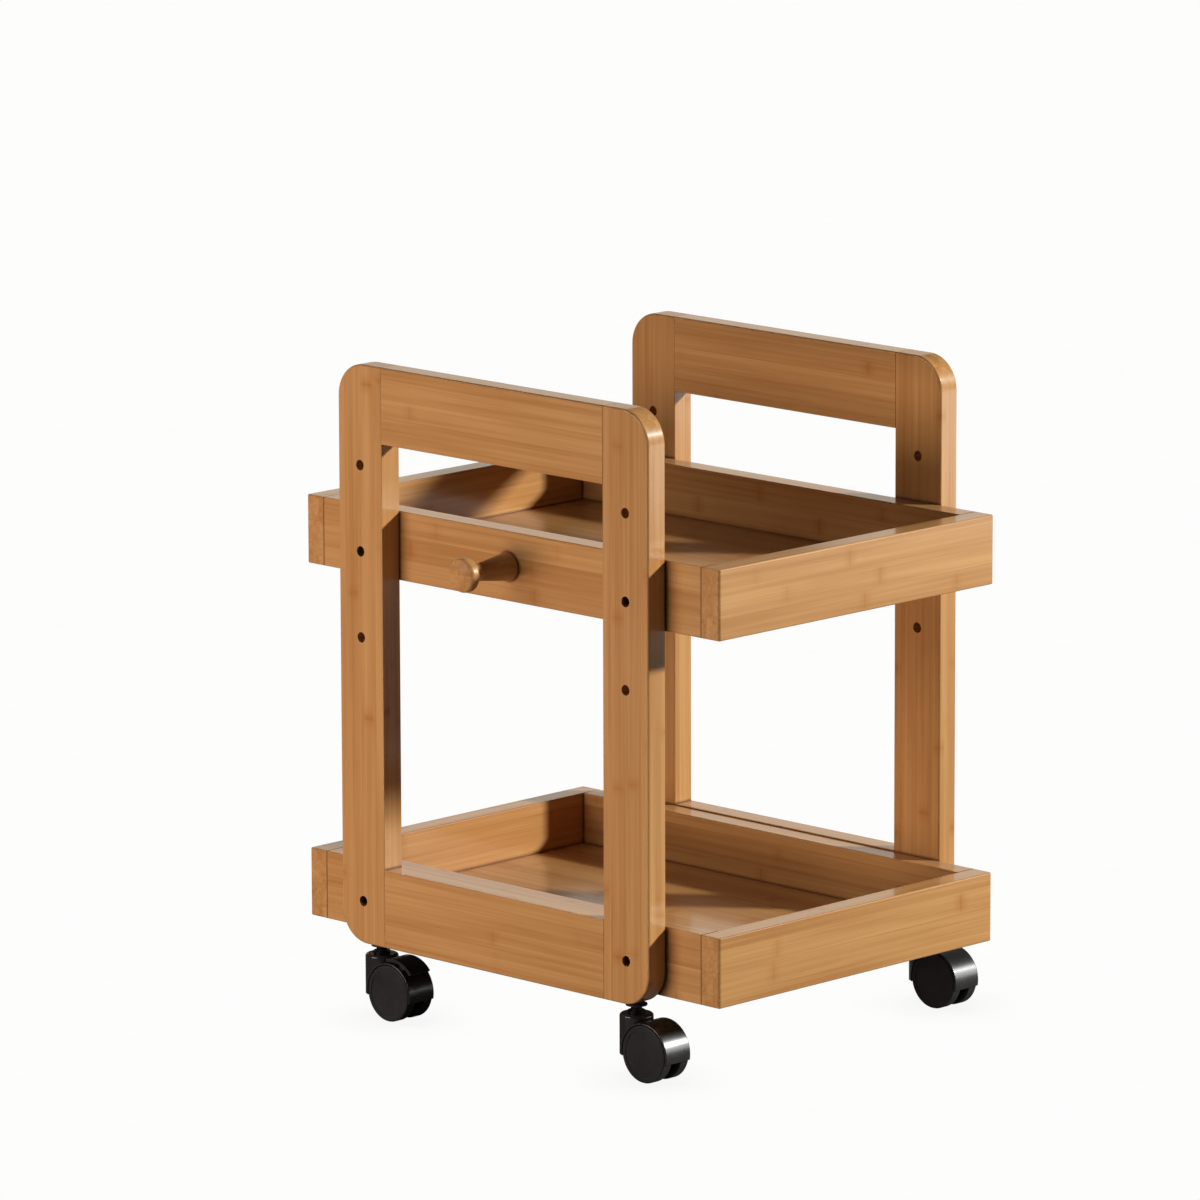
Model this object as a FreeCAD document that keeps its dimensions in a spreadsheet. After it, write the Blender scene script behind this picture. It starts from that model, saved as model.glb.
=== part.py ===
import FreeCAD, Part
import os
import Sketcher

# Rolling utility cart: two open trays bolted between two side frames, on four twin-wheel casters.
# Millimetres.  X runs from the left frame to the right one, -Y is the front, Z is up, and the
# origin is on the floor under the middle of the cart.

SIZES = [
    # alias, value, meaning
    ("frame_length", 300, "side frame, front to back"),
    ("frame_tall", 412, "side frame, bottom to top"),
    ("frame_thick", 17, "side frame, left to right"),
    ("post_wide", 43, "post, front to back"),
    ("top_rail_tall", 54, "top rail, bottom to top"),
    ("bottom_rail_tall", 56, "bottom rail, bottom to top"),
    ("frame_corner", 24, "radius of a frame's four outer corners"),
    ("outer_ease", 1.5, "rounding of a frame's outer edges"),
    ("joint_ease", 0.6, "rounding of the edges that meet at a joint or a window"),
    ("hole_radius", 3.75, "holes through the posts"),
    ("hole_pitch", 61, "between neighbouring holes up a post"),
    ("tray_length", 400, "tray, front to back"),
    ("tray_wide", 275, "tray, left to right"),
    ("tray_tall", 49, "tray boards, bottom to top"),
    ("board_thick", 17, "tray boards"),
    ("tray_ease", 1, "rounding of a tray's long edges"),
    ("tray_corner", 2, "rounding of a tray's upright corners"),
    ("lower_tray_rise", 6, "underside of a side frame to the underside of the lower tray"),
    ("upper_tray_drop", 152, "top of a side frame to the underside of the upper tray"),
    ("lower_bolt_rise", 24.5, "underside of the lower tray to its bolts"),
    ("upper_bolt_rise", 20, "underside of the upper tray to its bolts"),
    ("panel_thick", 6, "tray floor panel"),
    ("panel_rise", 6, "underside of a tray to its floor panel"),
    ("tongue_thick", 5, "edge of the floor panel in its groove"),
    ("groove_deep", 5, "groove that holds the floor panel"),
    ("panel_play", 0.3, "clearance of the panel in its groove"),
    ("field_play", 0.3, "clearance of the panel between the tray boards, above its tongue"),
    ("bolt_radius", 2.5, "tray bolt shank"),
    ("bolt_length", 28, "tray bolt shank"),
    ("bolt_head_radius", 4.75, "tray bolt button head"),
    ("bolt_head_tall", 2.75, "tray bolt button head"),
    ("key_radius", 1.7, "six-sided socket, centre to corner"),
    ("key_deep", 1.6, "six-sided socket"),
    ("bolt_play", 0.25, "clearance of a bolt in a tray board, each side"),
    ("thread_play", 0.03, "clearance of a bolt in its sleeve, each side"),
    ("sleeve_play", 0.05, "clearance of a sleeve in its hole, each side"),
    ("sleeve_length", 12, "threaded sleeve"),
    ("sleeve_recess", 3, "outer end of a sleeve, below the frame's outer face"),
    ("frame_pin_radius", 4, "dowel between a post and a rail"),
    ("frame_pin_length", 32, "dowel between a post and a rail"),
    ("bottom_pin_low", 26, "underside of the bottom rail to its lower dowel"),
    ("bottom_pin_high", 44, "underside of the bottom rail to its upper dowel"),
    ("top_pin_low", 14, "underside of the top rail to its lower dowel"),
    ("top_pin_high", 36, "underside of the top rail to its upper dowel"),
    ("tray_pin_radius", 3, "dowel at a tray's corner"),
    ("tray_pin_length", 30, "dowel at a tray's corner"),
    ("tray_pin_outer", 11, "length of a tray dowel in the end board"),
    ("tray_pin_low", 21, "underside of a tray to its lower dowels"),
    ("tray_pin_high", 38, "underside of a tray to its upper dowels"),
    ("pin_play", 0.05, "clearance round a dowel"),
    ("pin_end_play", 0.5, "glue space past each end of a dowel"),
    ("peg_length", 49, "hanging peg, board to tip"),
    ("peg_foot_radius", 10, "hanging peg where it meets the board"),
    ("peg_foot_tall", 2, "straight part of the peg's foot"),
    ("peg_neck_radius", 5.3, "narrowest part of the peg"),
    ("peg_neck_out", 34, "board to the narrowest part"),
    ("peg_head_radius", 12, "head of the peg"),
    ("peg_head_out", 40, "board to the widest part of the head"),
    ("peg_head_tall", 6, "straight part of the peg's head"),
    ("peg_waist_curve", 12, "radius of the peg's waist"),
    ("peg_head_back", 2, "rounding of the head, towards the board"),
    ("peg_head_front", 3, "rounding of the head, towards the tip"),
    ("peg_tip_curve", 6, "rounding of the peg's tip"),
    ("peg_foot_ease", 1, "rounding of the peg's foot"),
    ("screw_radius", 2, "screw that holds the peg"),
    ("screw_length", 34, "screw that holds the peg, head included"),
    ("screw_head_radius", 4, "countersunk head of that screw"),
    ("screw_head_tall", 2.2, "countersunk head of that screw"),
    ("screw_play", 0.05, "clearance round that screw, each side"),
    ("wheel_radius", 20, "caster wheel"),
    ("wheel_wide", 8, "caster wheel, across its tread"),
    ("wheel_gap", 0.3, "clearance between a wheel and the caster's web"),
    ("web_wide", 8, "caster web between the wheels"),
    ("rim_thick", 3.2, "tread ring of a wheel"),
    ("disc_thick", 2.6, "outer disc of a wheel"),
    ("tread_ease", 1, "rounding of a wheel's tread edges"),
    ("hub_radius", 4.6, "hub of a wheel"),
    ("face_rim", 3.2, "raised rim round a wheel's outer face"),
    ("face_recess", 0.5, "depth of the face inside that rim"),
    ("axle_radius", 2, "caster axle"),
    ("axle_length", 21, "caster axle"),
    ("spin_play", 0.05, "clearance of a wheel on its axle, each side"),
    ("axle_end_play", 0.4, "space past each end of the axle"),
    ("caster_trail", 18, "caster stem to its axle, front to back"),
    ("front_stem_in", 20, "front end of a frame to the front caster's stem"),
    ("back_stem_in", 31, "back end of a frame to the back caster's stem"),
    ("hood_wall", 1.1, "hood over a wheel"),
    ("hood_half", 12, "half the width of the hood"),
    ("hood_ease", 0.8, "rounding of the hood's side edges"),
    ("boss_radius", 11.7, "caster's swivel boss"),
    ("bay_gap", 0.6, "clearance between a tread and the hood"),
    ("hood_drop", 4, "axle to the lower edge of the hood"),
    ("boss_rise", 2.8, "top of the hood to the top of the swivel boss"),
    ("boss_round", 2, "rounding of the boss's top edge"),
    ("lug_radius", 5.5, "web round the axle"),
    ("stem_deep", 12.5, "top of the boss to the lower end of the stem"),
    ("stem_radius", 3.5, "stem inside the boss"),
    ("swivel_play", 0.05, "clearance of the stem in the boss, each side"),
    ("bead_radius", 4, "retaining bead on the stem"),
    ("bead_deep", 8.5, "top of the boss to the underside of the retaining bead"),
    ("bead_tall", 1.5, "retaining bead"),
    ("bead_play", 0.35, "clearance round the retaining bead"),
    ("collar_gap", 0.3, "clearance between the boss and the stem's collar"),
    ("collar_radius", 6, "collar of the stem"),
    ("collar_tall", 1.6, "collar of the stem"),
    ("stem_show", 3.4, "stem between its collar and the socket's flange"),
    ("shank_radius", 3.95, "stem inside the socket"),
    ("shank_reach", 16, "underside of a side frame to the upper end of the stem"),
    ("shank_play", 0.03, "clearance of the stem in the socket, each side"),
    ("socket_radius", 5.5, "plastic socket in the post"),
    ("socket_tall", 18, "plastic socket inside the post"),
    ("flange_radius", 7.5, "flange of the socket under the post"),
    ("flange_thick", 1.2, "flange of the socket under the post"),
    ("lever_gap", 0.6, "brake pedal above the hood when it is down"),
    ("lever_thick", 2, "brake pedal plate"),
    ("lever_half", 9.5, "half the width of the brake pedal"),
    ("lever_sweep", 63, "degrees of the hood that the pedal covers"),
    ("lever_low", 34, "degrees above level of the pedal's free end, when it is down"),
    ("lever_lift", 8, "degrees that the pedal stands up when it is off"),
    ("pivot_back", 16.5, "caster stem to the pedal's pivot, front to back"),
    ("pivot_deep", 5.7, "top of the hood to the pedal's pivot"),
    ("pivot_radius", 1, "pedal pivot pin"),
    ("pivot_play", 0.05, "clearance of the pedal on its pivot pin, each side"),
    ("arm_half", 1.9, "half the width of the pedal's arm"),
    ("arm_radius", 2.2, "eye of the pedal's arm"),
    ("slot_play", 0.4, "clearance of the arm in its slot, each side"),
    ("slot_front", 1.4, "further clearance ahead of the arm, for its swing"),
    ("pad_angle", 58, "degrees above level of the brake pads, when the pedal is down"),
    ("pad_long", 4, "brake pad, along the tread"),
    ("pad_wide", 4, "brake pad, across the tread"),
    ("pad_out", 7, "middle of the caster to the middle of a pad"),
    ("pad_gap", 0.1, "brake pad above the tread when the pedal is down"),
    ("pad_window", 0.8, "clearance beside and under a brake pad in its window"),
    ("pad_swing", 1.5, "clearance before and behind a brake pad in its window"),
]

# Places that follow from the sizes, so that a taller wheel or frame carries the rest with it.
PLACES = [
    # alias, formula, meaning
    ("bay_radius", "wheel_radius + bay_gap", "inside of the hood over a wheel"),
    ("hood_radius", "bay_radius + hood_wall", "outside of the hood over the wheels"),
    ("hood_foot", "wheel_radius - hood_drop", "floor to the lower edge of the hood"),
    ("hood_top", "wheel_radius + hood_radius", "floor to the top of the hood"),
    ("boss_top", "hood_top + boss_rise", "floor to the top of the caster's swivel boss"),
    ("stem_foot", "boss_top - stem_deep", "floor to the lower end of the stem"),
    ("bead_foot", "boss_top - bead_deep", "floor to the retaining bead"),
    ("pivot_up", "hood_top - pivot_deep", "floor to the pedal's pivot"),
    ("collar_top", "boss_top + collar_gap + collar_tall", "floor to the top of the stem's collar"),
    ("frame_base", "collar_top + stem_show + flange_thick", "floor to the underside of a side frame"),
    ("shank_end", "frame_base + shank_reach", "floor to the upper end of the stem"),
    ("lower_tray_base", "frame_base + lower_tray_rise", "floor to the underside of the lower tray"),
    ("upper_tray_base", "frame_base + frame_tall - upper_tray_drop",
     "floor to the underside of the upper tray"),
]

X_AXIS = FreeCAD.Vector(1, 0, 0)
Y_AXIS = FreeCAD.Vector(0, 1, 0)
Z_AXIS = FreeCAD.Vector(0, 0, 1)
UPRIGHT = FreeCAD.Rotation()
# A cylinder runs along its own Z, so these lay it along the other axes.
ALONG_X = FreeCAD.Rotation(Y_AXIS, 90)
AGAINST_X = FreeCAD.Rotation(Y_AXIS, -90)
ALONG_Y = FreeCAD.Rotation(X_AXIS, -90)
HALF_TURN = FreeCAD.Rotation(Z_AXIS, 180)
# A cylinder's axis to X and the start of its sector to Y.
SECTOR_FROM_Y = FreeCAD.Rotation(FreeCAD.Vector(1, 1, 1), 120)

doc = FreeCAD.newDocument("utility_cart")
sheet = doc.addObject("Spreadsheet::Sheet", "size")
CELLS = SIZES + [(alias, f"={formula}", meaning) for alias, formula, meaning in PLACES]
for row, (alias, value, meaning) in enumerate(CELLS, start=1):
    sheet.set(f"A{row}", alias)
    sheet.set(f"B{row}", str(value))
    sheet.set(f"C{row}", meaning)
    sheet.setAlias(f"B{row}", alias)
doc.recompute()

nodes = []
SAME_PLACE = 1e-4  # an edge this close to a plane lies on it


def number(expression):
    """The present value of an expression over the sheet."""
    return float(sheet.evalExpression(expression))


def bind(thing, **expressions):
    for name, expression in expressions.items():
        thing.setExpression(name, expression)


def put(thing, x="0", y="0", z="0", turn=UPRIGHT):
    """Turns an object, then binds the place of its own origin."""
    thing.Placement = FreeCAD.Placement(FreeCAD.Vector(), turn)
    for letter, expression in (("x", x), ("y", y), ("z", z)):
        if expression != "0":
            thing.setExpression(f"Placement.Base.{letter}", expression)


def node(thing, label):
    """Marks an object as one of the cart's pieces."""
    thing.Label = label
    nodes.append(thing)
    return thing


def new_body(name):
    return doc.addObject("PartDesign::Body", name)


def plane(body, role):
    return next(item for item in body.Origin.OriginFeatures if item.Role == role)


def outline(body, name, role, points):
    """A closed sketch whose corners are bound to pairs of expressions."""
    sketch = body.newObject("Sketcher::SketchObject", name)
    sketch.AttachmentSupport = [(plane(body, role), "")]
    sketch.MapMode = "FlatFace"
    corners = [FreeCAD.Vector(number(across), number(up), 0) for across, up in points]
    count = len(corners)
    for index, corner in enumerate(corners):
        sketch.addGeometry(Part.LineSegment(corner, corners[(index + 1) % count]), False)
    for index in range(count):
        sketch.addConstraint(Sketcher.Constraint("Coincident", index, 2, (index + 1) % count, 1))
    for index, (across, up) in enumerate(points):
        corner = corners[index]
        for kind, expression, value, axis in (
            ("DistanceX", across, corner.x, -2),
            ("DistanceY", up, corner.y, -1),
        ):
            if expression == "0":
                sketch.addConstraint(Sketcher.Constraint("PointOnObject", index, 1, axis))
                continue
            position = sketch.addConstraint(Sketcher.Constraint(kind, -1, 1, index, 1, value))
            sketch.setExpression(f"Constraints[{position}]", expression)
    return sketch


def spin_up(body, name, points):
    """A solid of revolution about the body's Z, from (radius, height) corners."""
    sketch = outline(body, f"{name}_profile", "XZ_Plane", points)
    revolution = body.newObject("PartDesign::Revolution", name)
    revolution.Profile = sketch
    revolution.ReferenceAxis = (sketch, ["V_Axis"])
    revolution.Angle = 360
    return revolution


def block(body, name, length, width, height, x="0", y="0", z="0", remove=False, turn=UPRIGHT):
    kind = "SubtractiveBox" if remove else "AdditiveBox"
    box = body.newObject(f"PartDesign::{kind}", name)
    bind(box, Length=length, Width=width, Height=height)
    put(box, x, y, z, turn)
    return box


def rod(body, name, radius, length, x="0", y="0", z="0", turn=UPRIGHT, remove=False):
    kind = "SubtractiveCylinder" if remove else "AdditiveCylinder"
    cylinder = body.newObject(f"PartDesign::{kind}", name)
    bind(cylinder, Radius=radius, Height=length)
    put(cylinder, x, y, z, turn)
    return cylinder


def soften(body, name, radius, wanted):
    """Rounds the edges of the body that pass a test."""
    doc.recompute()
    base = body.Tip
    names = [f"Edge{i}" for i, edge in enumerate(base.Shape.Edges, start=1) if wanted(edge)]
    if not names:
        raise RuntimeError(f"{body.Name}: no edge for {name}")
    fillet = body.newObject("PartDesign::Fillet", name)
    fillet.Base = (base, names)
    bind(fillet, Radius=radius)
    return fillet


def near(value, target):
    return abs(value - target) < SAME_PLACE


def lies(edge, **limits):
    """True when the whole edge lies on the given coordinate planes of the body."""
    box = edge.BoundBox
    spans = {"x": (box.XMin, box.XMax), "y": (box.YMin, box.YMax), "z": (box.ZMin, box.ZMax)}
    return all(near(spans[k][0], v) and near(spans[k][1], v) for k, v in limits.items())


def group(label, pieces):
    """Several equal loose solids as one node."""
    compound = doc.addObject("Part::Compound", f"{label}_group")
    compound.Links = pieces
    return node(compound, label)


# ---- Side frames --------------------------------------------------------------------------

FRAME_SIDES = {"left": "-(size.tray_wide / 2 + size.frame_thick)", "right": "size.tray_wide / 2"}
HOLE_HEIGHTS = {
    "tray": "size.lower_tray_base + size.lower_bolt_rise - size.frame_base",
    "spare_low": "size.upper_tray_base + size.upper_bolt_rise - size.hole_pitch - size.frame_base",
    "bolt": "size.upper_tray_base + size.upper_bolt_rise - size.frame_base",
    "spare_high": "size.upper_tray_base + size.upper_bolt_rise + size.hole_pitch - size.frame_base",
}
PIN_HEIGHTS = {
    "bottom_low": "size.bottom_pin_low",
    "bottom_high": "size.bottom_pin_high",
    "top_low": "size.frame_tall - size.top_rail_tall + size.top_pin_low",
    "top_high": "size.frame_tall - size.top_rail_tall + size.top_pin_high",
}


def make_post(side, end):
    """An upright with rounded outer corners, bolt holes, dowel holes and a caster socket hole.

    Its own Y starts at the frame's end and runs inwards, so a back post is turned half round.
    """
    body = new_body(f"{side}_{end}_post")
    block(body, "board", "size.frame_thick", "size.post_wide", "size.frame_tall")
    tall = number("size.frame_tall")
    wide = number("size.post_wide")
    thick = number("size.frame_thick")
    soften(body, "corners", "size.frame_corner",
           lambda edge: lies(edge, y=0, z=0) or lies(edge, y=0, z=tall))
    soften(body, "outer_edges", "size.outer_ease",
           lambda edge: (lies(edge, x=0) or lies(edge, x=thick)) and not lies(edge, y=wide))
    soften(body, "joint_edges", "size.joint_ease",
           lambda edge: lies(edge, y=wide, x=0) or lies(edge, y=wide, x=thick))
    for place, height in HOLE_HEIGHTS.items():
        rod(body, f"hole_{place}", "size.hole_radius", "size.frame_thick * 2",
            x="-size.frame_thick / 2", y="size.post_wide / 2", z=height, turn=ALONG_X, remove=True)
    for place, height in PIN_HEIGHTS.items():
        rod(body, f"pin_{place}", "size.frame_pin_radius + size.pin_play",
            "size.frame_pin_length / 2 + size.pin_end_play",
            x="size.frame_thick / 2",
            y="size.post_wide - size.frame_pin_length / 2 - size.pin_end_play",
            z=height, turn=ALONG_Y, remove=True)
    rod(body, "socket_hole", "size.socket_radius", "size.socket_tall + size.pin_end_play",
        x="size.frame_thick / 2", y=f"size.{end}_stem_in", remove=True)
    if end == "front":
        put(body, FRAME_SIDES[side], "-size.frame_length / 2", "size.frame_base")
    else:
        put(body, f"{FRAME_SIDES[side]} + size.frame_thick", "size.frame_length / 2",
            "size.frame_base", HALF_TURN)
    return node(body, body.Name)


def make_rail(side, level):
    """A rail between two posts, with its dowel holes."""
    body = new_body(f"{side}_{level}_rail")
    tall = f"size.{level}_rail_tall"
    block(body, "board", "size.frame_thick", "size.frame_length - size.post_wide * 2", tall)
    depth = "size.frame_pin_length / 2 + size.pin_end_play"
    for height in (f"size.{level}_pin_low", f"size.{level}_pin_high"):
        for end, start in (("front", "0"),
                           ("back", f"size.frame_length - size.post_wide * 2 - ({depth})")):
            rod(body, f"pin_{end}", "size.frame_pin_radius + size.pin_play", depth,
                x="size.frame_thick / 2", y=start, z=height, turn=ALONG_Y, remove=True)
    thick = number("size.frame_thick")
    edge_up = number(tall) if level == "top" else 0
    edge_in = 0 if level == "top" else number(tall)
    soften(body, "outer_edges", "size.outer_ease",
           lambda edge: lies(edge, z=edge_up, x=0) or lies(edge, z=edge_up, x=thick))
    soften(body, "window_edges", "size.joint_ease",
           lambda edge: lies(edge, z=edge_in, x=0) or lies(edge, z=edge_in, x=thick))
    base = "size.frame_base"
    if level == "top":
        base = "size.frame_base + size.frame_tall - size.top_rail_tall"
    put(body, FRAME_SIDES[side], "size.post_wide - size.frame_length / 2", base)
    return node(body, body.Name)


def make_frame_dowels(side):
    """Eight wooden dowels, two at each joint between a post and a rail."""
    dowels = []
    for end, sign in (("front", "-1"), ("back", "1")):
        for height in PIN_HEIGHTS.values():
            dowel = doc.addObject("Part::Cylinder", f"{side}_frame_dowel")
            bind(dowel, Radius="size.frame_pin_radius", Height="size.frame_pin_length")
            put(dowel, f"{FRAME_SIDES[side]} + size.frame_thick / 2",
                f"{sign} * (size.frame_length / 2 - size.post_wide) - size.frame_pin_length / 2",
                f"size.frame_base + {height}", ALONG_Y)
            dowels.append(dowel)
    return group(f"{side}_frame_dowels", dowels)


for frame_side in FRAME_SIDES:
    for frame_end in ("front", "back"):
        make_post(frame_side, frame_end)
    for rail_level in ("top", "bottom"):
        make_rail(frame_side, rail_level)
    make_frame_dowels(frame_side)


# ---- Trays --------------------------------------------------------------------------------

GROOVE_TALL = "size.tongue_thick + size.panel_play"
BOLT_REACH = "(size.frame_length - size.post_wide) / 2"


def make_side_board(level, side):
    """A long board with the floor groove, bolt holes and dowel holes."""
    body = new_body(f"{level}_tray_{side}_side")
    length = "size.tray_length - size.board_thick * 2"
    block(body, "board", "size.board_thick", length, "size.tray_tall",
          y=f"-({length}) / 2")
    inner = "size.board_thick - size.groove_deep" if side == "left" else "0"
    block(body, "groove", "size.groove_deep", length, GROOVE_TALL,
          x=inner, y=f"-({length}) / 2", z="size.panel_rise", remove=True)
    for sign in ("-", ""):
        rod(body, "bolt_hole", "size.bolt_radius + size.bolt_play", "size.board_thick * 2",
            x="-size.board_thick / 2", y=f"{sign}{BOLT_REACH}", z=f"size.{level}_bolt_rise",
            turn=ALONG_X, remove=True)
    depth = "(size.tray_pin_length - size.tray_pin_outer + size.pin_end_play)"
    for height in ("size.tray_pin_low", "size.tray_pin_high"):
        for start in (f"-({length}) / 2", f"({length}) / 2 - {depth}"):
            rod(body, "dowel_hole", "size.tray_pin_radius + size.pin_play", depth,
                x="size.board_thick / 2", y=start, z=height, turn=ALONG_Y, remove=True)
    if level == "upper" and side == "left":
        rod(body, "screw_hole", "size.screw_radius + size.screw_play", "size.board_thick * 2",
            x="-size.board_thick / 2", z="size.tray_tall / 2", turn=ALONG_X, remove=True)
        sink = body.newObject("PartDesign::SubtractiveCone", "countersink")
        bind(sink, Radius1="size.screw_radius + size.screw_play",
             Radius2="size.screw_head_radius + size.screw_play", Height="size.screw_head_tall")
        put(sink, "size.board_thick - size.screw_head_tall", "0", "size.tray_tall / 2", ALONG_X)
    thick = number("size.board_thick")
    tall = number("size.tray_tall")
    soften(body, "long_edges", "size.tray_ease",
           lambda edge: any(lies(edge, x=x, z=z) for x in (0, thick) for z in (0, tall)))
    corner = "-size.tray_wide / 2" if side == "left" else "size.tray_wide / 2 - size.board_thick"
    put(body, corner, "0", f"size.{level}_tray_base")
    return node(body, body.Name)


def make_end_board(level, end):
    """A board across the full width of the tray, with a stopped groove and dowel holes."""
    body = new_body(f"{level}_tray_{end}_end")
    block(body, "board", "size.tray_wide", "size.board_thick", "size.tray_tall",
          x="-size.tray_wide / 2")
    groove = "size.tray_wide - (size.board_thick - size.groove_deep) * 2"
    inner = "size.board_thick - size.groove_deep" if end == "front" else "0"
    block(body, "groove", groove, "size.groove_deep", GROOVE_TALL,
          x=f"-({groove}) / 2", y=inner, z="size.panel_rise", remove=True)
    depth = "size.tray_pin_outer + size.pin_end_play"
    start = f"size.board_thick - ({depth})" if end == "front" else "0"
    for sign in ("-", ""):
        for height in ("size.tray_pin_low", "size.tray_pin_high"):
            rod(body, "dowel_hole", "size.tray_pin_radius + size.pin_play", depth,
                x=f"{sign}(size.tray_wide - size.board_thick) / 2", y=start, z=height,
                turn=ALONG_Y, remove=True)
    thick = number("size.board_thick")
    tall = number("size.tray_tall")
    half = number("size.tray_wide / 2")
    outer = 0 if end == "front" else thick
    soften(body, "corners", "size.tray_corner",
           lambda edge: any(lies(edge, x=x, y=outer) for x in (-half, half)))

    def long_edge(edge):
        flat = lies(edge, z=0) or lies(edge, z=tall)
        return flat and not any(lies(edge, x=x) for x in (-half, half))

    soften(body, "long_edges", "size.tray_ease", long_edge)
    corner = "-size.tray_length / 2" if end == "front" else "size.tray_length / 2 - size.board_thick"
    put(body, "0", corner, f"size.{level}_tray_base")
    return node(body, body.Name)


def make_tray_floor(level):
    """A panel between the boards, on a tongue that runs in their grooves."""
    body = new_body(f"{level}_tray_floor")
    layers = {
        "tongue": ("(size.board_thick - size.groove_deep + size.panel_play)", "size.tongue_thick"),
        "field": ("(size.board_thick + size.field_play)", "size.panel_thick"),
    }
    for name, (inset, thick) in layers.items():
        across = f"size.tray_wide - {inset} * 2"
        along = f"size.tray_length - {inset} * 2"
        block(body, name, across, along, thick, x=f"-({across}) / 2", y=f"-({along}) / 2")
    put(body, z=f"size.{level}_tray_base + size.panel_rise")
    return node(body, body.Name)


def make_tray_dowels(level):
    """Eight wooden dowels, two at each corner of a tray."""
    dowels = []
    inner_end = "size.tray_length / 2 - size.board_thick + size.tray_pin_outer"
    for across in ("-", ""):
        for start in (f"-({inner_end})", f"{inner_end} - size.tray_pin_length"):
            for height in ("size.tray_pin_low", "size.tray_pin_high"):
                dowel = doc.addObject("Part::Cylinder", f"{level}_tray_dowel")
                bind(dowel, Radius="size.tray_pin_radius", Height="size.tray_pin_length")
                put(dowel, f"{across}(size.tray_wide - size.board_thick) / 2", start,
                    f"size.{level}_tray_base + {height}", ALONG_Y)
                dowels.append(dowel)
    return group(f"{level}_tray_dowels", dowels)


for tray_level in ("lower", "upper"):
    for tray_side in ("left", "right"):
        make_side_board(tray_level, tray_side)
    for tray_end in ("front", "back"):
        make_end_board(tray_level, tray_end)
    make_tray_floor(tray_level)
    make_tray_dowels(tray_level)


# ---- Tray bolts and their sleeves ---------------------------------------------------------


def bolt_places(level):
    """(direction outwards, Y, Z) of a tray's four bolts."""
    height = f"size.{level}_tray_base + size.{level}_bolt_rise"
    return [(side, f"{end}{BOLT_REACH}", height) for side in ("-", "") for end in ("-", "")]


def make_bolt(name, side, y, z):
    """A button-head bolt whose head lies against the inside of the tray."""
    head = doc.addObject("Part::Cylinder", f"{name}_head")
    bind(head, Radius="size.bolt_head_radius", Height="size.bolt_head_tall")
    put(head, z="-size.bolt_head_tall")
    shank = doc.addObject("Part::Cylinder", f"{name}_shank")
    bind(shank, Radius="size.bolt_radius", Height="size.bolt_length")
    blank = doc.addObject("Part::Fuse", f"{name}_blank")
    blank.Base = head
    blank.Tool = shank
    key = doc.addObject("Part::Prism", f"{name}_key")
    key.Polygon = 6
    bind(key, Circumradius="size.key_radius", Height="size.key_deep")
    put(key, z="-size.bolt_head_tall")
    bolt = doc.addObject("Part::Cut", name)
    bolt.Base = blank
    bolt.Tool = key
    turn = AGAINST_X if side == "-" else ALONG_X
    put(bolt, f"{side}(size.tray_wide / 2 - size.board_thick)", y, z, turn)
    return bolt


def make_sleeve(name, side, y, z):
    """A threaded sleeve inside a post's hole."""
    barrel = doc.addObject("Part::Cylinder", f"{name}_barrel")
    bind(barrel, Radius="size.hole_radius - size.sleeve_play", Height="size.sleeve_length")
    bore = doc.addObject("Part::Cylinder", f"{name}_bore")
    bind(bore, Radius="size.bolt_radius + size.thread_play", Height="size.sleeve_length * 2")
    put(bore, z="-size.sleeve_length / 2")
    sleeve = doc.addObject("Part::Cut", name)
    sleeve.Base = barrel
    sleeve.Tool = bore
    turn = AGAINST_X if side == "-" else ALONG_X
    inner = "size.tray_wide / 2 + size.frame_thick - size.sleeve_recess - size.sleeve_length"
    put(sleeve, f"{side}({inner})", y, z, turn)
    return sleeve


for tray_level in ("lower", "upper"):
    group(f"{tray_level}_tray_bolts",
          [make_bolt(f"{tray_level}_bolt", *place) for place in bolt_places(tray_level)])
    group(f"{tray_level}_bolt_sleeves",
          [make_sleeve(f"{tray_level}_sleeve", *place) for place in bolt_places(tray_level)])


# ---- Hanging peg --------------------------------------------------------------------------


def make_peg():
    """A turned peg on the outside of the upper tray, held by a screw from inside."""
    body = new_body("hanging_peg")
    spin_up(body, "turning", [
        ("0", "0"),
        ("size.peg_foot_radius", "0"),
        ("size.peg_foot_radius", "size.peg_foot_tall"),
        ("size.peg_neck_radius", "size.peg_neck_out"),
        ("size.peg_head_radius", "size.peg_head_out"),
        ("size.peg_head_radius", "size.peg_head_out + size.peg_head_tall"),
        ("size.peg_neck_radius", "size.peg_length"),
        ("0", "size.peg_length"),
    ])
    rings = {
        "waist": ("peg_neck_radius", "size.peg_neck_out", "size.peg_waist_curve"),
        "head_back": ("peg_head_radius", "size.peg_head_out", "size.peg_head_back"),
        "head_front": ("peg_head_radius", "size.peg_head_out + size.peg_head_tall",
                       "size.peg_head_front"),
        "tip": ("peg_neck_radius", "size.peg_length", "size.peg_tip_curve"),
        "foot": ("peg_foot_radius", "size.peg_foot_tall", "size.peg_foot_ease"),
    }
    for name, (radius, out, round_off) in rings.items():
        ring = number(f"size.{radius}")
        level = number(out)
        soften(body, name, round_off,
               lambda edge: lies(edge, z=level) and near(edge.BoundBox.XMax, ring))
    rod(body, "screw_hole", "size.screw_radius + size.screw_play",
        "size.screw_length - size.board_thick + size.pin_end_play", remove=True)
    put(body, "-size.tray_wide / 2", "0", "size.upper_tray_base + size.tray_tall / 2", AGAINST_X)
    return node(body, body.Name)


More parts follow.
